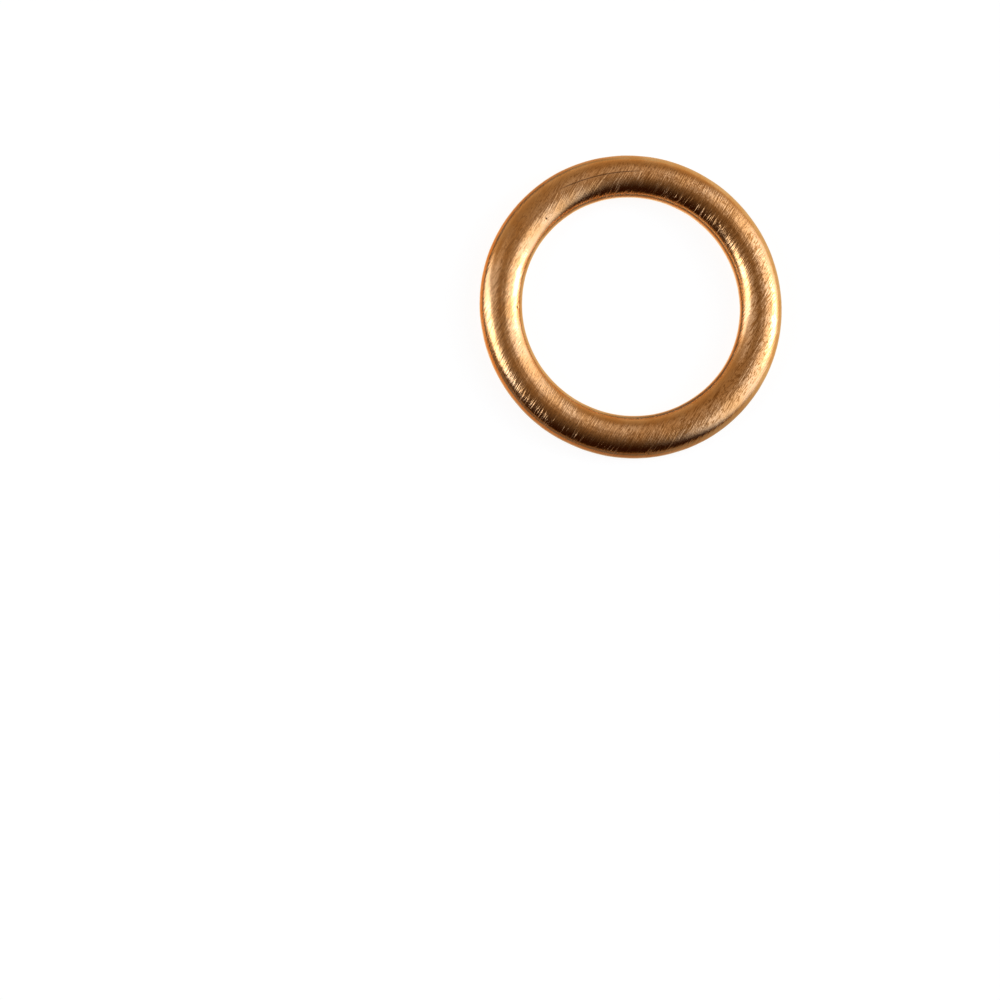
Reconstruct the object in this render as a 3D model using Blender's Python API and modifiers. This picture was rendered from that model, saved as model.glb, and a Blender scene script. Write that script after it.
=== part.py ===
"""Copper crush washer: copper sheet rolled round into a hollow ring, with its open seam underneath.

Metres, +Z up. The ring lies flat on z = 0 and its axis is the Z axis.
"""

import math

import bpy

# Overall sizes of the ring before it is tightened down.
OUTER_DIAMETER = 0.0199
BORE_DIAMETER = 0.01435
HEIGHT = 0.0020

# The sheet that it is rolled from, and the slit where the two edges of the sheet meet.
SHEET_THICKNESS = 0.0004
SEAM_GAP = 0.00015
LIP_EDGE_RADIUS = 0.00006

# The press that closes the section leaves a hairline flat on top and a wide one along the seam.
CROWN_LAND_WIDTH = 0.00025
SEAM_LAND_WIDTH = 0.0010

# Fineness of the round forms.
QUARTER_SEGMENTS = 6
RING_STEPS = 64
LIP_EDGE_SEGMENTS = 2

# An edge sharper than this is a cut edge of the sheet. Facets of the round section meet at far less.
CUT_EDGE_ANGLE = math.radians(60)

COPPER_COLOUR = (0.80, 0.43, 0.22, 1.0)
COPPER_ROUGHNESS = 0.32
COPPER_METALLIC = 1.0


def clear_scene():
    for item in list(bpy.data.objects):
        bpy.data.objects.remove(item, do_unlink=True)


def new_collection(name):
    collection = bpy.data.collections.new(name)
    bpy.context.scene.collection.children.link(collection)
    return collection


def copper():
    """Bright copper with a satin, tumbled surface."""
    material = bpy.data.materials.new("copper")
    material.use_nodes = True
    surface = material.node_tree.nodes["Principled BSDF"]
    surface.inputs["Base Color"].default_value = COPPER_COLOUR
    surface.inputs["Roughness"].default_value = COPPER_ROUGHNESS
    surface.inputs["Metallic"].default_value = COPPER_METALLIC
    return material


def quarter_oval(half_width, half_height, land_width):
    """Points (across, up) from the widest point of the section up to the edge of its flat.

    The curve is an oval that would stand a little higher than half_height, pressed flat there.
    """
    last_angle = math.acos(land_width / 2 / half_width)
    full_height = half_height / math.sin(last_angle)
    points = []
    for index in range(QUARTER_SEGMENTS + 1):
        angle = last_angle * index / QUARTER_SEGMENTS
        points.append((half_width * math.cos(angle), full_height * math.sin(angle)))
    return points


def section_line():
    """The outside of the rolled sheet as (radius, z): up the bore side from the seam, over the top and down outside."""
    half_width = (OUTER_DIAMETER - BORE_DIAMETER) / 4
    half_height = HEIGHT / 2
    middle_radius = (OUTER_DIAMETER + BORE_DIAMETER) / 4
    upper = quarter_oval(half_width, half_height, CROWN_LAND_WIDTH)
    lower = quarter_oval(half_width, half_height, SEAM_LAND_WIDTH)

    rising = [(SEAM_GAP / 2, -half_height)]
    rising += [(across, -up) for across, up in reversed(lower)]
    rising += upper[1:]
    bore_side = [(middle_radius - across, half_height + up) for across, up in rising]
    outer_side = [(middle_radius + across, half_height + up) for across, up in reversed(rising)]
    return bore_side + outer_side


def line_mesh(name, points):
    mesh = bpy.data.meshes.new(name)
    vertices = [(radius, 0.0, z) for radius, z in points]
    edges = [(index, index + 1) for index in range(len(points) - 1)]
    mesh.from_pydata(vertices, edges, [])
    return mesh


def crush_washer(collection):
    """The section's line turned round the axis, then thickened inwards to the sheet's thickness."""
    washer = bpy.data.objects.new("crush_washer", line_mesh("crush_washer", section_line()))
    collection.objects.link(washer)

    turn = washer.modifiers.new("turn", "SCREW")
    turn.axis = "Z"
    turn.steps = RING_STEPS
    turn.render_steps = RING_STEPS
    turn.use_smooth_shade = True

    sheet = washer.modifiers.new("sheet", "SOLIDIFY")
    sheet.thickness = SHEET_THICKNESS
    sheet.offset = -1.0
    sheet.use_even_offset = True

    lips = washer.modifiers.new("lip_edges", "BEVEL")
    lips.width = LIP_EDGE_RADIUS
    lips.segments = LIP_EDGE_SEGMENTS
    lips.limit_method = "ANGLE"
    lips.angle_limit = CUT_EDGE_ANGLE

    washer.data.materials.append(copper())
    return washer


def main():
    clear_scene()
    crush_washer(new_collection("copper_crush_washer"))


main()
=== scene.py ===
# %% [markdown]
# # A rolled copper crush washer
#
# A crush washer seals the drain plug of an oil sump. This kind is rolled from one strip of soft copper sheet into a
# hollow ring, so that it can flatten when the plug is tightened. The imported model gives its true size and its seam.
# Here it gets the fine surface: the satin shine, the brushing, the little pits and marks of handling.

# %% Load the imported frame
import math

import bpy
import numpy as np
from mathutils import Matrix, Vector, noise


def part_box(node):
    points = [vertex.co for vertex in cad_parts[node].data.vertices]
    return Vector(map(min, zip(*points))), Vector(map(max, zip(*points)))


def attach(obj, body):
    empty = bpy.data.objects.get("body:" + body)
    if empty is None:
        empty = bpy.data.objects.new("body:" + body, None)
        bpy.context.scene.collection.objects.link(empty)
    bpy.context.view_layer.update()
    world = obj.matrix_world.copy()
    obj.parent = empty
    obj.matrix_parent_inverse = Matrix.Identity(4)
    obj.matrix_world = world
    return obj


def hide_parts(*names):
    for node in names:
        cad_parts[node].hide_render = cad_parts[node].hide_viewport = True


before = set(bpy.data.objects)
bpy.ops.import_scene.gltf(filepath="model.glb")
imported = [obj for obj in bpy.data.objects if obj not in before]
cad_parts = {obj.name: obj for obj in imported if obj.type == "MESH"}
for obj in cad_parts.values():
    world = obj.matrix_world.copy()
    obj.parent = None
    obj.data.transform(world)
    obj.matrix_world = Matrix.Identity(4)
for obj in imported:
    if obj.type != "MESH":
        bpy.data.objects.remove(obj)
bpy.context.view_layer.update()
MM = 0.001

washer_low, washer_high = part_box("crush_washer")
print("CAD box in mm:", [round(side / MM, 3) for side in washer_high - washer_low])

# %% [markdown]
# ## The section of the ring
#
# Every slice through the ring is the same oval of bent sheet. Its widest points are the outer wall and the bore. On top
# it has a hairline flat, and below it ends in two lips that face each other across the seam. The oval could be a curve
# object, but the lips and the sheet's thickness are easier to keep exact as a list of points, so the section is
# computed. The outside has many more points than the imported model, because polished metal shows every facet. The
# inside of the sheet is hidden, so it has few.

# %% Sizes of the section
OUTER_RADIUS = washer_high.x
HEIGHT = washer_high.z
BORE_RADIUS = 7.175 * MM
SHEET = 0.4 * MM
SEAM_GAP = 0.15 * MM
CROWN_LAND = 0.25 * MM
SEAM_LAND = 1.0 * MM
LIP_ROUND = 0.06 * MM

# How finely each stretch of the section is divided, from the crown down the outside and up the inside of the sheet.
CROWN_LAND_POINTS = 1
OUTSIDE_UPPER_STEPS = 26
OUTSIDE_LOWER_STEPS = 13
SEAM_LAND_POINTS = 3
LIP_STEPS = 3
INSIDE_LOWER_STEPS = 5
INSIDE_UPPER_STEPS = 6

MIDDLE_RADIUS = (OUTER_RADIUS + BORE_RADIUS) / 2
HALF_BAND = (OUTER_RADIUS - BORE_RADIUS) / 2
HALF_HEIGHT = HEIGHT / 2
print("middle radius", round(MIDDLE_RADIUS / MM, 4), "half band", round(HALF_BAND / MM, 4), "mm")


# %% One quarter of the oval
def quarter_oval(land_width, count, inset=0.0):
    """Points (across, up) from the widest point of the section to the edge of its flat, set inwards by inset."""
    last_angle = math.acos(land_width / 2 / HALF_BAND)
    full_height = HALF_HEIGHT / math.sin(last_angle)
    points = []
    for index in range(count + 1):
        angle = last_angle * index / count
        outwards = Vector((math.cos(angle) / HALF_BAND, math.sin(angle) / full_height)).normalized()
        on_oval = Vector((HALF_BAND * math.cos(angle), full_height * math.sin(angle)))
        points.append(tuple(on_oval - outwards * inset))
    return points


def between(start, end, count):
    """Points on the straight stretch from start to end, without its two ends."""
    steps = [index / (count + 1) for index in range(1, count + 1)]
    return [tuple(Vector(start).lerp(Vector(end), step)) for step in steps]


def lip_corner(across, up, from_degrees):
    """A rounded corner of the cut edge, a quarter turn clockwise round its own centre."""
    angles = [math.radians(from_degrees - 90 * index / LIP_STEPS) for index in range(LIP_STEPS + 1)]
    return [(across + LIP_ROUND * math.cos(angle), up + LIP_ROUND * math.sin(angle)) for angle in angles]


# %% Half of the section, outside and inside
def outer_half():
    """The outside of the sheet, from the middle of the crown down the outer wall to the lip."""
    crown_edge = (CROWN_LAND / 2, HALF_HEIGHT)
    seam_edge = (SEAM_LAND / 2, -HALF_HEIGHT)
    lip_start = (SEAM_GAP / 2 + LIP_ROUND, -HALF_HEIGHT)
    crown = between((0, HALF_HEIGHT), crown_edge, CROWN_LAND_POINTS)
    upper = list(reversed(quarter_oval(CROWN_LAND, OUTSIDE_UPPER_STEPS)))
    lower = [(across, -up) for across, up in quarter_oval(SEAM_LAND, OUTSIDE_LOWER_STEPS)][1:]
    return crown + upper + lower + between(seam_edge, lip_start, SEAM_LAND_POINTS)


def cut_edge():
    """The rounded edge of the sheet where it faces the seam, from the outside to the inside."""
    across = SEAM_GAP / 2 + LIP_ROUND
    low = lip_corner(across, -HALF_HEIGHT + LIP_ROUND, from_degrees=270)
    high = lip_corner(across, -HALF_HEIGHT + SHEET - LIP_ROUND, from_degrees=180)
    return low + high


def inner_half():
    """The inside of the sheet, from the lip up the outer wall to the middle of the crown."""
    lower = [(across, -up) for across, up in reversed(quarter_oval(SEAM_LAND, INSIDE_LOWER_STEPS, SHEET))]
    upper = quarter_oval(CROWN_LAND, INSIDE_UPPER_STEPS, SHEET)[1:]
    return lower + upper


def section_loop():
    """(radius, z) all round the cut sheet."""
    half = outer_half() + cut_edge() + inner_half()
    other_half = [(-across, up) for across, up in reversed(half)]
    crown = [(0.0, HALF_HEIGHT)]
    under_crown = [(0.0, HALF_HEIGHT - SHEET)]
    loop = crown + half + under_crown + other_half
    return [(MIDDLE_RADIUS + across, HALF_HEIGHT + up) for across, up in loop]


profile = section_loop()
print(len(profile), "points round the section")

# %% [markdown]
# ## Turning the section into the ring
#
# A turned shape is made with the Screw modifier, which sweeps the closed section round the Z axis, as a former's rolls
# do to the strip. Its result is taken as an ordinary mesh, so that single points can be moved afterwards.

# %% Turn the section
RING_STEPS = 640


def turned_ring(name):
    """The section swept once round the axis, as an ordinary mesh object with its normals outwards."""
    mesh = bpy.data.meshes.new(name)
    vertices = [(radius, 0.0, z) for radius, z in profile]
    edges = [(index, (index + 1) % len(profile)) for index in range(len(profile))]
    mesh.from_pydata(vertices, edges, [])
    line = bpy.data.objects.new(name + "_line", mesh)
    bpy.context.scene.collection.objects.link(line)
    turn = line.modifiers.new("turn", "SCREW")
    turn.axis = "Z"
    turn.steps = RING_STEPS
    turn.render_steps = RING_STEPS
    turn.use_smooth_shade = True
    turn.use_normal_calculate = True
    swept = bpy.data.meshes.new_from_object(line.evaluated_get(bpy.context.evaluated_depsgraph_get()))
    bpy.data.objects.remove(line)
    ring = bpy.data.objects.new(name, swept)
    bpy.context.scene.collection.objects.link(ring)
    return ring


def enclosed_volume(mesh):
    """The volume inside a closed mesh, negative where its faces look inwards."""
    mesh.calc_loop_triangles()
    places = np.empty(len(mesh.vertices) * 3)
    mesh.vertices.foreach_get("co", places)
    corners = np.empty(len(mesh.loop_triangles) * 3, dtype=int)
    mesh.loop_triangles.foreach_get("vertices", corners)
    a, b, c = places.reshape(-1, 3)[corners.reshape(-1, 3)].transpose(1, 0, 2)
    return float(np.einsum("ij,ij->i", a, np.cross(b, c)).sum() / 6)


ring = turned_ring("copper_ring")
if enclosed_volume(ring.data) < 0:
    ring.data.flip_normals()
print(len(ring.data.loop_triangles), "triangles,", round(enclosed_volume(ring.data) / MM ** 3, 2), "mm3 of copper")

# %% [markdown]
# ## The unevenness of a formed part
#
# A rolled ring is never perfect. The rolls leave swells about a hundredth of a millimetre high, and tumbling in a batch
# leaves small dents. Both bend the reflections, so they belong in the mesh: each point is moved along its normal by a
# smooth noise, and by a round hollow where there is a dent.

# %% Swells and dents
UM_PER_MM = 1000
SWELLS = (
    # size and height, in mm
    (3.2, 0.015),
    (1.1, 0.006),
    (0.45, 0.002),
)
DENTS = (
    # angle round the ring, distance across from its middle line, radius and depth, in degrees and mm
    (136.0, -0.650, 0.12, 0.020),
    (-178.1, -1.033, 0.14, 0.018),
    (43.0, -0.785, 0.13, 0.024),
    (-88.6, 0.30, 0.16, 0.006),
    (-64.0, -0.12, 0.18, 0.006),
    (12.0, 0.42, 0.20, 0.006),
    (201.0, 0.35, 0.22, 0.007),
)


def on_top(angle_degrees, across_mm):
    """The place on the upper outside of the ring at this angle, this far across from the middle line."""
    across = across_mm * MM
    full_height = HALF_HEIGHT / math.sqrt(1 - (CROWN_LAND / 2 / HALF_BAND) ** 2)
    up = min(HALF_HEIGHT, full_height * math.sqrt(1 - (across / HALF_BAND) ** 2))
    angle = math.radians(angle_degrees)
    radius = MIDDLE_RADIUS + across
    return Vector((radius * math.cos(angle), radius * math.sin(angle), HALF_HEIGHT + up))


def swell(place):
    """Height in mm of the uneven forming at a place given in mm."""
    return sum(height * noise.noise(Vector(place) / size) for size, height in SWELLS)


def dent_depth(places):
    """How deep, in mm, each place lies in the dents."""
    depth = np.zeros(len(places))
    for angle, across, radius, deepest in DENTS:
        centre = np.array(on_top(angle, across)) / MM
        distance = np.linalg.norm(places - centre, axis=1) / radius
        depth += deepest * np.clip(1 - distance ** 2, 0, 1) ** 2
    return depth


def make_uneven(mesh):
    """Moves every point along its normal, keeps all of them above the floor, and gives back the heights in mm."""
    places = np.empty(len(mesh.vertices) * 3)
    normals = np.empty(len(mesh.vertices) * 3)
    mesh.vertices.foreach_get("co", places)
    mesh.vertices.foreach_get("normal", normals)
    places = places.reshape(-1, 3) / MM
    heights = np.array([swell(place) for place in places]) - dent_depth(places)
    places += normals.reshape(-1, 3) * heights[:, None]
    places[:, 2] = np.clip(places[:, 2], 0, None)
    mesh.vertices.foreach_set("co", (places * MM).ravel())
    mesh.update()
    return heights


heights = make_uneven(ring.data) * UM_PER_MM
print("uneven by", round(float(heights.min()), 1), "to", round(float(heights.max()), 1), "micrometres")

# %% [markdown]
# ## Small helpers for shader nodes
#
# Shader trees are easier to read in code when a node is one line. These helpers add a node, link or fill its inputs,
# and give back the socket that the next node needs.

# %% Node helpers
# The Mix node has sockets of the same name for numbers, vectors and colours, so those for colours go by place.
MIX_FACTOR, MIX_FIRST, MIX_SECOND, MIX_RESULT = 0, 6, 7, 2
NOISE_MEAN = 0.5


def fill(tree, socket, value):
    """Links the socket where the value is a socket too, and sets it otherwise."""
    if isinstance(value, bpy.types.NodeSocket):
        tree.links.new(value, socket)
    else:
        socket.default_value = value


def add_node(tree, kind, inputs, **settings):
    """A new node: each input is linked where it is given a socket, and set where it is given a value."""
    node = tree.nodes.new(kind)
    for name, value in settings.items():
        setattr(node, name, value)
    for key, value in inputs.items():
        fill(tree, node.inputs[key], value)
    return node


def calc(tree, operation, *values):
    """The result of a Math node."""
    return add_node(tree, "ShaderNodeMath", dict(enumerate(values)), operation=operation).outputs[0]


def vector(tree, operation, *values):
    """The result of a Vector Math node."""
    node = add_node(tree, "ShaderNodeVectorMath", dict(enumerate(values)), operation=operation)
    return node.outputs["Value" if operation in ("DOT_PRODUCT", "LENGTH") else "Vector"]


def eased(tree, value, start, end):
    """0 at start, 1 at end, and an even S between them."""
    inputs = {"Value": value, "From Min": start, "From Max": end}
    return add_node(tree, "ShaderNodeMapRange", inputs, interpolation_type="SMOOTHSTEP").outputs[0]


def mixed(tree, factor, first, second):
    """One colour out of two."""
    inputs = {MIX_FACTOR: factor, MIX_FIRST: first, MIX_SECOND: second}
    return add_node(tree, "ShaderNodeMix", inputs, data_type="RGBA").outputs[MIX_RESULT]


def noise_texture(tree, place, scale, detail, **inputs):
    """The outputs of a Noise Texture node."""
    inputs = {"Vector": place, "Scale": scale, "Detail": detail, **inputs}
    return add_node(tree, "ShaderNodeTexNoise", inputs).outputs


def separate(tree, place):
    """X, Y and Z of a vector."""
    return add_node(tree, "ShaderNodeSeparateXYZ", {0: place}).outputs


def new_group(name, inputs, outputs):
    """An empty node group with named sockets, its inputs given as name: (kind, default)."""
    group = bpy.data.node_groups.new(name, "ShaderNodeTree")
    for label, (kind, default) in inputs.items():
        socket = group.interface.new_socket(name=label, in_out="INPUT", socket_type="NodeSocket" + kind)
        socket.default_value = default
    for label in outputs:
        group.interface.new_socket(name=label, in_out="OUTPUT", socket_type="NodeSocketFloat")
    given = group.nodes.new("NodeGroupInput").outputs
    wanted = group.nodes.new("NodeGroupOutput").inputs
    return group, given, wanted


def use_group(tree, group, **inputs):
    """The group placed in a tree, with its inputs named by words joined with underscores."""
    named = {key.replace("_", " "): value for key, value in inputs.items()}
    return add_node(tree, "ShaderNodeGroup", named, node_tree=group).outputs[0]


# %% [markdown]
# ## Brushing
#
# The whole ring was rubbed one way on fine abrasive, so the hairlines run straight across it and don't follow its
# round. A brushed look could come from an anisotropic shader, but on this ring single lines can be seen, so they are
# heights: a noise stretched along the direction of the rubbing and squeezed across it.

# %% Hairlines
SHORTER_DOWNWARDS = 1.6
SWAY_SCALE = 0.35


def brushing_coordinates(tree, position, angle, length, width):
    """The position turned so that X runs along the brushing, and measured in lengths and widths of a line."""
    backwards = calc(tree, "MULTIPLY", angle, -1.0)
    turned = add_node(tree, "ShaderNodeVectorRotate", {"Vector": position, "Angle": backwards}, rotation_type="Z_AXIS")
    along = calc(tree, "DIVIDE", 1.0, length)
    across = calc(tree, "DIVIDE", 1.0, width)
    down = calc(tree, "MULTIPLY", along, SHORTER_DOWNWARDS)
    scale = add_node(tree, "ShaderNodeCombineXYZ", {0: along, 1: across, 2: down}).outputs[0]
    return vector(tree, "MULTIPLY", turned.outputs[0], scale)


def hairline_group():
    """Fine lines along the brushing, as a height about 0. The waviness lets them stray from the straight."""
    group, given, wanted = new_group("brushed_hairlines", {
        "Position": ("Vector", (0, 0, 0)),
        "Angle": ("Float", 0.0),
        "Length": ("Float", 1.0),
        "Width": ("Float", 0.08),
        "Waviness": ("Float", 0.15),
    }, ["Height"])
    sway = noise_texture(group, given["Position"], scale=SWAY_SCALE, detail=1.0)["Color"]
    centred = vector(group, "SUBTRACT", sway, (NOISE_MEAN, NOISE_MEAN, NOISE_MEAN))
    moved = vector(group, "SCALE", centred)
    group.links.new(given["Waviness"], moved.node.inputs["Scale"])
    position = vector(group, "ADD", given["Position"], moved)
    stretched = brushing_coordinates(group, position, given["Angle"], given["Length"], given["Width"])
    lines = noise_texture(group, stretched, scale=1.0, detail=2.0, Roughness=0.55)[0]
    group.links.new(calc(group, "SUBTRACT", lines, NOISE_MEAN), wanted["Height"])
    return group


hairlines = hairline_group()

# %% [markdown]
# ## Deeper strokes
#
# Here and there a coarser grain of the abrasive dug in and left a longer groove. They could be drawn one by one, but
# there are hundreds of them. So they come from the same stretched noise: only where it rises above a level is there a
# groove, which gives slim islands that all run one way and lie at uneven distances.

# %% Strokes
LEVEL_TO_FULL = 0.24


def stroke_group():
    """1 in the strokes and 0 between them. A lower level makes more and broader strokes."""
    group, given, wanted = new_group("brush_strokes", {
        "Position": ("Vector", (0, 0, 0)),
        "Angle": ("Float", 0.0),
        "Length": ("Float", 1.5),
        "Width": ("Float", 0.15),
        "Level": ("Float", 0.5),
    }, ["Mask"])
    stretched = brushing_coordinates(group, given["Position"], given["Angle"], given["Length"], given["Width"])
    lines = noise_texture(group, stretched, scale=1.0, detail=0.5)[0]
    full = calc(group, "ADD", given["Level"], LEVEL_TO_FULL)
    group.links.new(eased(group, lines, given["Level"], full), wanted["Mask"])
    return group


strokes = stroke_group()

# %% [markdown]
# ## Grain, pits and the mark on the crown
#
# Tumbling leaves the copper with a fine grain, like the skin of an orange. A few pits hold dark oxide. On the crown a
# tool has drawn one faint dark line, part of a wide circle. Each is a mask from plain distances, in millimetres.

# %% Grain
def grain_group():
    """A fine grain the same in all directions, as a height about 0."""
    group, given, wanted = new_group("tumbled_grain", {
        "Position": ("Vector", (0, 0, 0)),
        "Size": ("Float", 0.2),
    }, ["Height"])
    scale = calc(group, "DIVIDE", 1.0, given["Size"])
    bumps = noise_texture(group, given["Position"], scale=scale, detail=2.0)[0]
    group.links.new(calc(group, "SUBTRACT", bumps, NOISE_MEAN), wanted["Height"])
    return group


grain = grain_group()


# %% Pits
def pit_group():
    """1 at the centre of a pit, and 0 from its radius on."""
    group, given, wanted = new_group("pit", {
        "Position": ("Vector", (0, 0, 0)),
        "Centre": ("Vector", (0, 0, 0)),
        "Radius": ("Float", 0.1),
    }, ["Mask"])
    distance = vector(group, "LENGTH", vector(group, "SUBTRACT", given["Position"], given["Centre"]))
    group.links.new(eased(group, distance, given["Radius"], 0.0), wanted["Mask"])
    return group


pit = pit_group()


# %% Arc line
ARC_FADE_MM = 1.2


def arc_group():
    """A line along a circle in the plane of the ring, on its far side, between two values of X."""
    group, given, wanted = new_group("drawn_arc", {
        "Position": ("Vector", (0, 0, 0)),
        "Centre": ("Vector", (0, 0, 0)),
        "Radius": ("Float", 8.0),
        "Width": ("Float", 0.05),
        "From X": ("Float", -4.0),
        "To X": ("Float", 1.0),
    }, ["Mask"])
    offset = vector(group, "SUBTRACT", given["Position"], given["Centre"])
    level = vector(group, "MULTIPLY", offset, (1, 1, 0))
    off_line = calc(group, "ABSOLUTE", calc(group, "SUBTRACT", vector(group, "LENGTH", level), given["Radius"]))
    line = eased(group, off_line, given["Width"], 0.0)
    x, y, _ = separate(group, given["Position"])
    after_start = eased(group, x, given["From X"], calc(group, "ADD", given["From X"], ARC_FADE_MM))
    before_end = eased(group, x, given["To X"], calc(group, "SUBTRACT", given["To X"], ARC_FADE_MM))
    far_side = calc(group, "GREATER_THAN", y, 0.0)
    length = calc(group, "MULTIPLY", calc(group, "MULTIPLY", after_start, before_end), far_side)
    group.links.new(calc(group, "MULTIPLY", line, length), wanted["Mask"])
    return group


drawn_arc = arc_group()

# %% [markdown]
# ## The copper
#
# The metal is one Principled surface, fully metallic. All heights are added up in thousandths of a millimetre and go
# through a single Bump node, so their sizes are real ones. The colour wanders between two tones of copper. It is
# browner in short dashes and long streaks, most of all on the crown, and dark with oxide in the pits and the line. The
# dashes and streaks also grow towards the right as painted shade. A torn, mottled band carries the line on towards
# the outer wall.

# %% Values of the copper
COPPER = (0.97, 0.55, 0.276, 1.0)
WARM_COPPER = (0.91, 0.45, 0.174, 1.0)
BROWN_SPECKLE_AND_SHADE = (0.45, 0.185, 0.05, 1.0)
WORN_COPPER = (0.48, 0.20, 0.06, 1.0)
OXIDE = (0.12, 0.045, 0.02, 1.0)
LINE_DARKNESS = 0.7

BRUSHING = math.radians(58)
ROUGHNESS = 0.12
ROUGHNESS_BY_TONE = 0.06
PITTED_DENTS = 3
PIT_TO_DENT = 0.85

# Both arcs are given in mm, from the middle of the ring.
DARK_LINE = {"Centre": (0.805, -3.888, 0.0), "Radius": 12.633, "Width": 0.07, "From_X": -5.2, "To_X": 0.9}
WORN_BAND = {"Centre": (-1.743, -10.085, 0.0), "Radius": 18.953, "Width": 0.24, "From_X": -0.3, "To_X": 5.8}

# The share of the strokes away from the slopes that face the movement, and between the rubbed patches.
DUG_ELSEWHERE = 0.12
DUG_BETWEEN_PATCHES = 0.4

# The brown is added up from a share everywhere and one on the crown. It grows towards the right as painted shade.
BROWN_EVERYWHERE = 0.12
BROWN_ON_CROWN = 0.85
PAINTED_SHADE_PER_MM_RIGHT = 0.045

# Where each mask begins and where it is full: slopes and the crown by the normal, the others by their noise.
FACING_SLOPES = (0.1, 0.5)
CROWN_SLOPES = (0.84, 0.98)
RUBBED_PATCHES = (0.35, 0.6)
BROWN_DASHES = (-0.01, 0.15)
BROWN_STREAKS = (0.02, 0.18)
TORN_METAL = (-0.03, 0.10)
WARM_TONE = (0.35, 0.65)


# %% Strokes of the copper
def shared(tree, mask, elsewhere):
    """The mask brought up to a smallest share."""
    return calc(tree, "MULTIPLY_ADD", mask, 1 - elsewhere, elsewhere)


def dug_strokes(tree, position):
    """1 in the deeper strokes. The abrasive was pushed one way, so it dug into the slopes that face its movement."""
    digs = use_group(tree, strokes, Position=position, Angle=BRUSHING + 0.08, Length=1.9, Width=0.12, Level=0.54)
    more_digs = use_group(tree, strokes, Position=position, Angle=BRUSHING - 0.05, Length=1.3, Width=0.08, Level=0.56)
    normal = add_node(tree, "ShaderNodeTexCoord", {}).outputs["Normal"]
    against = (-math.cos(BRUSHING), -math.sin(BRUSHING), 0.0)
    facing = eased(tree, vector(tree, "DOT_PRODUCT", normal, against), *FACING_SLOPES)
    patches = eased(tree, noise_texture(tree, position, scale=0.55, detail=1.0)[0], *RUBBED_PATCHES)
    where = calc(tree, "MULTIPLY", shared(tree, facing, DUG_ELSEWHERE), shared(tree, patches, DUG_BETWEEN_PATCHES))
    return calc(tree, "MULTIPLY", calc(tree, "MAXIMUM", digs, more_digs), where)


# %% Heights of the copper
def copper_heights(tree, position, dug, pits, line):
    """The height of the surface in micrometres."""
    fine = use_group(tree, hairlines, Position=position, Angle=BRUSHING, Length=2.8, Width=0.09, Waviness=0.4)
    coarse = use_group(tree, hairlines, Position=position, Angle=BRUSHING + 0.06, Length=1.8, Width=0.24, Waviness=0.7)
    skin = use_group(tree, grain, Position=position, Size=0.12)
    fine_skin = use_group(tree, grain, Position=position, Size=0.065)
    heights = (
        (fine, 14.0),
        (coarse, 8.0),
        (dug, -10.0),
        (skin, 4.0),
        (fine_skin, 2.5),
        (pits, -12.0),
        (line, -6.0),
    )
    total = 0.0
    for mask, height in heights:
        total = calc(tree, "MULTIPLY_ADD", mask, height, total)
    return total


# %% Masks of the copper
def oxide_pits(tree, position):
    """1 in the pits, which lie in the deepest dents."""
    pits = 0.0
    for angle, across, radius, _ in DENTS[:PITTED_DENTS]:
        centre = tuple(on_top(angle, across) / MM)
        spot = use_group(tree, pit, Position=position, Centre=centre, Radius=radius * PIT_TO_DENT)
        pits = calc(tree, "ADD", pits, spot)
    return pits


def speckle_and_painted_shade(tree, position):
    """Brown dashes and streaks along the brushing, most on the rubbed crown, and more to the right as painted shade."""
    dashes = use_group(tree, hairlines, Position=position, Angle=BRUSHING, Length=0.26, Width=0.075, Waviness=0.5)
    streaks = use_group(tree, hairlines, Position=position, Angle=BRUSHING - 0.04, Length=1.3, Width=0.075,
                        Waviness=0.3)
    normal = add_node(tree, "ShaderNodeTexCoord", {}).outputs["Normal"]
    on_crown = eased(tree, separate(tree, normal)[2], *CROWN_SLOPES)
    # Painted shade: the brown grows towards the right, which darkens the right of the crown.
    painted_shade_right = calc(tree, "MULTIPLY_ADD", separate(tree, position)[0], PAINTED_SHADE_PER_MM_RIGHT, 1.0)
    amount = calc(tree, "MULTIPLY", calc(tree, "MULTIPLY_ADD", on_crown, BROWN_ON_CROWN, BROWN_EVERYWHERE), painted_shade_right)
    brown = calc(tree, "MAXIMUM", eased(tree, dashes, *BROWN_DASHES), eased(tree, streaks, *BROWN_STREAKS))
    return calc(tree, "MULTIPLY", brown, amount)


def worn_band(tree, position):
    """A band along its arc, torn up by the grain."""
    band = use_group(tree, drawn_arc, Position=position, **WORN_BAND)
    torn = eased(tree, use_group(tree, grain, Position=position, Size=0.15), *TORN_METAL)
    return calc(tree, "MULTIPLY", band, torn)


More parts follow.
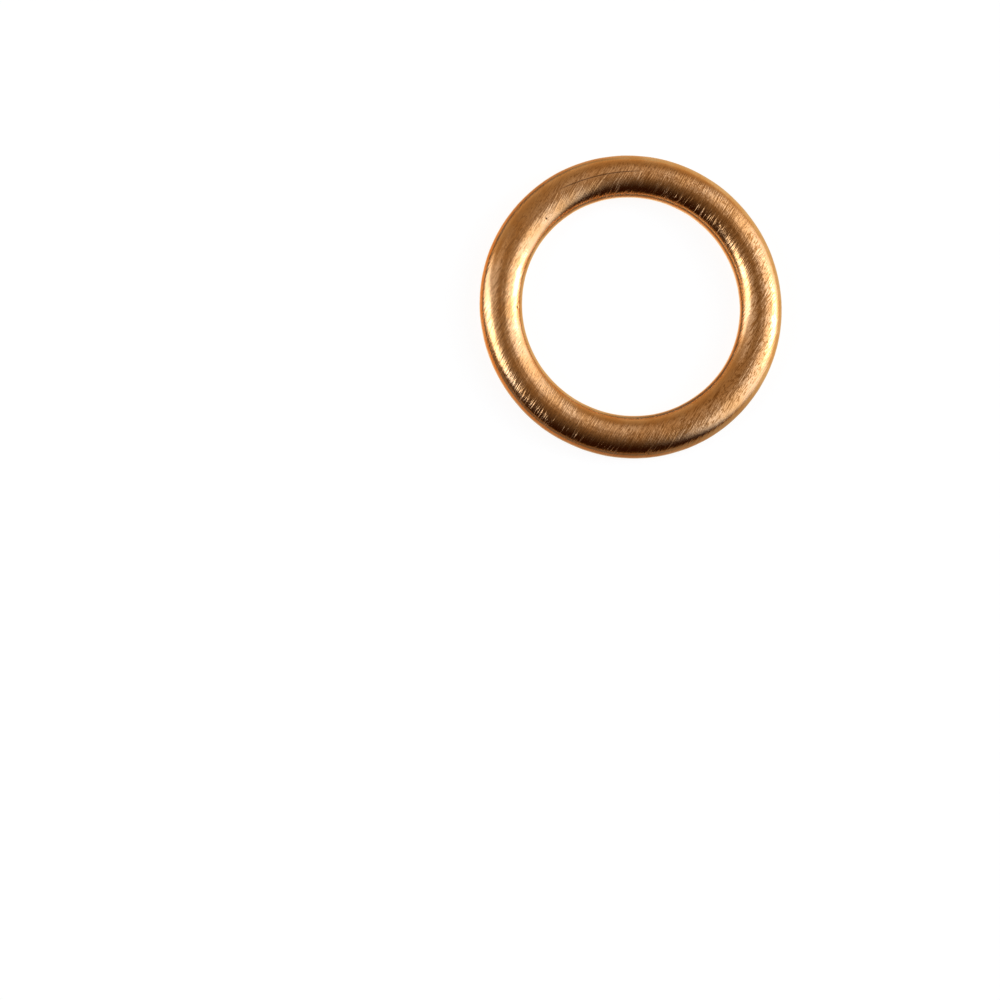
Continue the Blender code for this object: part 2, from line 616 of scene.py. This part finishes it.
# %% Copper material
def copper_material():
    """Bump, colour and roughness of the copper, all from the same masks."""
    material = bpy.data.materials.new("copper")
    material.use_nodes = True
    tree = material.node_tree
    surface = tree.nodes["Principled BSDF"]
    surface.inputs["Metallic"].default_value = 1.0

    place = add_node(tree, "ShaderNodeTexCoord", {}).outputs["Object"]
    position = vector(tree, "MULTIPLY", place, (1 / MM, 1 / MM, 1 / MM))
    pits = oxide_pits(tree, position)
    line = use_group(tree, drawn_arc, Position=position, **DARK_LINE)
    dug = dug_strokes(tree, position)
    speckle_and_shade = speckle_and_painted_shade(tree, position)
    tone = noise_texture(tree, position, scale=0.7, detail=4.0)[0]

    total = copper_heights(tree, position, dug, pits, line)
    bump = add_node(tree, "ShaderNodeBump", {"Height": total, "Distance": MM / UM_PER_MM, "Strength": 1.0})
    tree.links.new(bump.outputs[0], surface.inputs["Normal"])

    colour = mixed(tree, eased(tree, tone, *WARM_TONE), COPPER, WARM_COPPER)
    # The brown speckle is wear, and on the right of the crown it is also painted shade.
    colour = mixed(tree, speckle_and_shade, colour, BROWN_SPECKLE_AND_SHADE)
    colour = mixed(tree, worn_band(tree, position), colour, WORN_COPPER)
    dark = calc(tree, "MAXIMUM", pits, calc(tree, "MULTIPLY", line, LINE_DARKNESS))
    colour = mixed(tree, dark, colour, OXIDE)
    tree.links.new(colour, surface.inputs["Base Color"])

    # Where the abrasive or the tumbling has torn the metal it is duller.
    rough = calc(tree, "MULTIPLY_ADD", tone, ROUGHNESS_BY_TONE, ROUGHNESS)
    for mask, duller in ((speckle_and_shade, 0.12), (dug, 0.26), (pits, 0.3)):
        rough = calc(tree, "MULTIPLY_ADD", mask, duller, rough)
    tree.links.new(rough, surface.inputs["Roughness"])
    return material


copper = copper_material()
ring.data.materials.clear()
ring.data.materials.append(copper)
print(len(copper.node_tree.nodes), "nodes in the copper")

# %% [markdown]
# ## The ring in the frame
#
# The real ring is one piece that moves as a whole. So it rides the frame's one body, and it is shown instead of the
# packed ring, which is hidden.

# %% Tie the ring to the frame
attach(ring, "root")
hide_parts("crush_washer")

# %% [markdown]
# ## Camera
#
# The photograph looks almost straight down on a table, and the ring leans a little in it. Here the ring lies flat, so
# the camera leans by the same angle instead and keeps the ring at its place in the picture.

# %% Camera at the photograph's angle
PICTURE = 1000
CAMERA_DISTANCE_PX = 2900
RING_X_PX = 631.44
RING_Y_PX = 306.32
RING_RADIUS_PX = 152.87
LEAN = math.radians(8.4)
LEAN_SIDE = math.radians(36.3)
SENSOR_MM = 36
NEAREST, FARTHEST = 0.005, 20


def place_camera():
    """A camera whose view of the flat ring is the photograph's view of the leaning one."""
    px = OUTER_RADIUS / RING_RADIUS_PX
    ring_in_view = Vector((
        (RING_X_PX - PICTURE / 2) * px,
        (PICTURE / 2 - RING_Y_PX) * px,
        -CAMERA_DISTANCE_PX * px,
    ))
    # The ring's axis as the camera sees it, leaning towards the picture's upper right.
    axis = Vector((
        math.sin(LEAN) * math.cos(LEAN_SIDE),
        math.sin(LEAN) * math.sin(LEAN_SIDE),
        math.cos(LEAN),
    ))
    turn = axis.rotation_difference(Vector((0, 0, 1))).to_matrix()
    data = bpy.data.cameras.new("camera")
    data.sensor_width = SENSOR_MM
    data.lens = SENSOR_MM * CAMERA_DISTANCE_PX / PICTURE
    data.clip_start = NEAREST
    data.clip_end = FARTHEST
    camera = bpy.data.objects.new("camera", data)
    bpy.context.scene.collection.objects.link(camera)
    middle = Vector((0, 0, HALF_HEIGHT))
    camera.matrix_world = Matrix.Translation(middle - turn @ ring_in_view) @ turn.to_4x4()
    bpy.context.scene.camera = camera
    return camera


camera = place_camera()
print("camera at", [round(value / MM, 1) for value in camera.location], "mm")

# %% [markdown]
# ## Floor
#
# The ring lies on matt white. The white of the picture comes from the floor's own glow as the camera sees it, and the
# dull paint under the glow keeps the ring's soft shadow. The rims of the ring show the floor again. Real paper looks
# white there close to the metal, warm a little further out, where copper light falls on it, brighter on the side that
# the softboxes reach, and darker in front of the ring, in its shade. So the glow that the metal sees is mixed from the
# distance to the ring and from the side.

# %% White floor
FLOOR_REACH = 2.0
FLOOR_PAINT = (0.18, 0.18, 0.18, 1.0)
GLOW_TO_CAMERA = (0.90, 0.90, 0.90)
CLOSE_GLOW = (0.95, 0.98, 0.80)
CLOSE_FROM, CLOSE_TO = 0.5 * MM, 1.3 * MM
WARM_GLOW = (0.44, 0.21, 0.04)
WARM_FROM, WARM_TO = 2.5 * MM, 7.0 * MM
LIT_GLOW = (0.61, 0.55, 0.32, 1.0)
LIT_SIDE = (0.95, 0.3, 0.0)
FRONT_SIDE = (0.0, -1.0, 0.0)
FADES_SOONER_INSIDE = 1.2
STRONGER_ON_DIM_SIDE = 0.6
SHADE_IN_FRONT = -0.4
PAINT_ROUGHNESS = 0.9

# Where each side begins and where it is full: 1 is straight towards it, and -1 straight away.
LIT_SPREAD = (-0.4, 1.0)
DIM_SPREAD = (-0.3, -0.9)
FRONT_SPREAD = (0.3, 0.8)


def seen_by(tree, to_camera, to_metal):
    """One colour of light for the camera's rays and another for those off metal and through glass."""
    rays = add_node(tree, "ShaderNodeLightPath", {}).outputs
    reflected = calc(tree, "ADD", rays["Is Glossy Ray"], rays["Is Transmission Ray"])
    camera_part = vector(tree, "MULTIPLY", rays["Is Camera Ray"], to_camera)
    return vector(tree, "MULTIPLY_ADD", reflected, to_metal, camera_part)


def glow_to_metal(tree):
    """The colour of the floor as the metal sees it."""
    place = add_node(tree, "ShaderNodeTexCoord", {}).outputs["Object"]
    direction = vector(tree, "NORMALIZE", place)
    outwards = calc(tree, "SUBTRACT", vector(tree, "LENGTH", place), MIDDLE_RADIUS)
    from_ring = calc(tree, "SUBTRACT", calc(tree, "ABSOLUTE", outwards), HALF_BAND)
    # The floor counts as lit where the nearest wall faces the lit side, so in the bore the sides swap.
    side = calc(tree, "MULTIPLY", vector(tree, "DOT_PRODUCT", direction, LIT_SIDE), calc(tree, "SIGN", outwards))
    # There the warm glow also fades sooner, because the ring shades the floor from all sides.
    inside = calc(tree, "LESS_THAN", outwards, 0.0)
    faded_over = calc(tree, "MULTIPLY", from_ring, calc(tree, "MULTIPLY_ADD", inside, FADES_SOONER_INSIDE, 1.0))
    # It is stronger on the side away from the lit one, where the left softboxes light it.
    stronger = calc(tree, "MULTIPLY_ADD", eased(tree, side, *DIM_SPREAD), STRONGER_ON_DIM_SIDE, 1.0)
    strength = calc(tree, "MULTIPLY", eased(tree, faded_over, WARM_TO, WARM_FROM), stronger)
    warm = vector(tree, "MULTIPLY", strength, WARM_GLOW)
    around = mixed(tree, eased(tree, side, *LIT_SPREAD), warm, LIT_GLOW)
    close = vector(tree, "MULTIPLY", eased(tree, from_ring, CLOSE_TO, CLOSE_FROM), CLOSE_GLOW)
    unshaded = vector(tree, "MAXIMUM", close, around)
    # The ring keeps the light from behind off the floor in front of it.
    in_front = eased(tree, vector(tree, "DOT_PRODUCT", direction, FRONT_SIDE), *FRONT_SPREAD)
    shaded = calc(tree, "MULTIPLY", in_front, calc(tree, "SUBTRACT", 1.0, inside))
    return vector(tree, "MULTIPLY", calc(tree, "MULTIPLY_ADD", shaded, SHADE_IN_FRONT, 1.0), unshaded)


def floor_material():
    """Dull paint that takes the shadow, and a glow over it."""
    material = bpy.data.materials.new("white_floor")
    material.use_nodes = True
    tree = material.node_tree
    paint = tree.nodes["Principled BSDF"]
    paint.inputs["Base Color"].default_value = FLOOR_PAINT
    paint.inputs["Roughness"].default_value = PAINT_ROUGHNESS
    paint.inputs["Specular IOR Level"].default_value = 0.0
    to_metal = glow_to_metal(tree)
    glow = add_node(tree, "ShaderNodeEmission", {"Color": seen_by(tree, GLOW_TO_CAMERA, to_metal), "Strength": 1.0})
    both = add_node(tree, "ShaderNodeAddShader", {0: paint.outputs[0], 1: glow.outputs[0]})
    tree.links.new(both.outputs[0], tree.nodes["Material Output"].inputs["Surface"])
    material.cycles.emission_sampling = "NONE"
    return material


def white_floor():
    """A plain square under the ring."""
    mesh = bpy.data.meshes.new("floor")
    corners = [(x * FLOOR_REACH, y * FLOOR_REACH, 0) for x, y in ((-1, -1), (1, -1), (1, 1), (-1, 1))]
    mesh.from_pydata(corners, [], [(0, 1, 2, 3)])
    floor = bpy.data.objects.new("floor", mesh)
    bpy.context.scene.collection.objects.link(floor)
    floor.data.materials.append(floor_material())
    return floor


floor = white_floor()

# %% [markdown]
# ## Light
#
# Metal shows its surroundings, so the studio is built for what the ring reflects. Two softboxes stand on the right, one
# small and bright inside a large dim one. Two stand on the left, one behind the other, and two faint ones high up fill
# the top of the ring. There is a dim wall behind, and darkness towards the viewer. Area lamps could do it too. In the
# world's nodes each softbox is a direction and two angles, and its soft edge is exact.

# %% Softboxes in the world
SOFTBOXES = (
    # azimuth from the picture's right, angle from straight up, half angles of the core and of the edge, strength
    (4.1, 62.5, 8.4, 13.8, 3.44),
    (2.2, 56.1, 21.2, 46.1, 1.14),
    (167.6, 75.0, 1.0, 22.6, 1.25),
    (187.0, 53.7, 1.2, 20.3, 3.05),
    (61.2, 32.3, 1.0, 24.5, 0.18),
    (165.0, 37.0, 12.0, 22.0, 0.33),
)
SOFTBOX_TINT = (1.0, 1.17, 1.38)
ROOM_TINT = (1.0, 0.775, 0.44)
BACK_WALL = 0.281
# How far forward the wall's light begins and where it is full, as the Y of the direction.
WALL_FROM, WALL_FULL = -0.783, 0.445
FRONT_DARK = (0.022, 0.006, 0.0)
HORIZON = 0.357
HORIZON_FALLOFF = 4.0
PALE_WALL = (0.30, 0.19, 0.09)
# How high the pale wall reaches and where it is full, as the Z of the direction.
PALE_TOP, PALE_FULL = 0.2, 0.05


def softbox_group():
    """A round patch of light in the sky, full inside its core and fading to nothing at its edge."""
    group, given, wanted = new_group("softbox", {
        "Direction": ("Vector", (0, 0, 1)),
        "Towards": ("Vector", (0, 0, 1)),
        "Core": ("Float", 0.1),
        "Edge": ("Float", 0.5),
        "Strength": ("Float", 1.0),
    }, ["Light"])
    closeness = vector(group, "DOT_PRODUCT", given["Direction"], given["Towards"])
    patch = eased(group, closeness, calc(group, "COSINE", given["Edge"]), calc(group, "COSINE", given["Core"]))
    group.links.new(calc(group, "MULTIPLY", patch, given["Strength"]), wanted["Light"])
    return group


softbox = softbox_group()


def towards(azimuth_degrees, from_top_degrees):
    """The direction of a softbox as seen from the ring."""
    azimuth, from_top = math.radians(azimuth_degrees), math.radians(from_top_degrees)
    return (math.sin(from_top) * math.cos(azimuth), math.sin(from_top) * math.sin(azimuth), math.cos(from_top))


def studio_world():
    """The softboxes and the room round them for the metal, and plain white for the camera."""
    world = bpy.data.worlds.new("studio")
    world.use_nodes = True
    tree = world.node_tree
    direction = add_node(tree, "ShaderNodeTexCoord", {}).outputs["Generated"]
    _, y, z = separate(tree, direction)

    backwards = eased(tree, y, WALL_FROM, WALL_FULL)
    low = calc(tree, "POWER", calc(tree, "SUBTRACT", 1.0, z), HORIZON_FALLOFF)
    wall = calc(tree, "MULTIPLY", calc(tree, "MULTIPLY_ADD", low, HORIZON, BACK_WALL), backwards)
    room = vector(tree, "MULTIPLY_ADD", wall, ROOM_TINT, FRONT_DARK)
    boxes = 0.0
    for azimuth, from_top, core, edge, strength in SOFTBOXES:
        box = use_group(tree, softbox, Direction=direction, Towards=towards(azimuth, from_top),
                        Core=math.radians(core), Edge=math.radians(edge), Strength=strength)
        boxes = calc(tree, "ADD", boxes, box)
    light = vector(tree, "MULTIPLY_ADD", boxes, SOFTBOX_TINT, room)

    horizon = eased(tree, z, PALE_TOP, PALE_FULL)
    pale = vector(tree, "MULTIPLY", horizon, seen_by(tree, (0, 0, 0), PALE_WALL))
    light = vector(tree, "MAXIMUM", light, pale)
    rays = add_node(tree, "ShaderNodeLightPath", {}).outputs
    light = vector(tree, "MAXIMUM", light, rays["Is Camera Ray"])
    tree.links.new(light, tree.nodes["Background"].inputs["Color"])
    tree.nodes["Background"].inputs["Strength"].default_value = 1.0
    return world


bpy.context.scene.world = studio_world()
bpy.context.scene.view_settings.view_transform = "Standard"
print(len(SOFTBOXES), "softboxes")
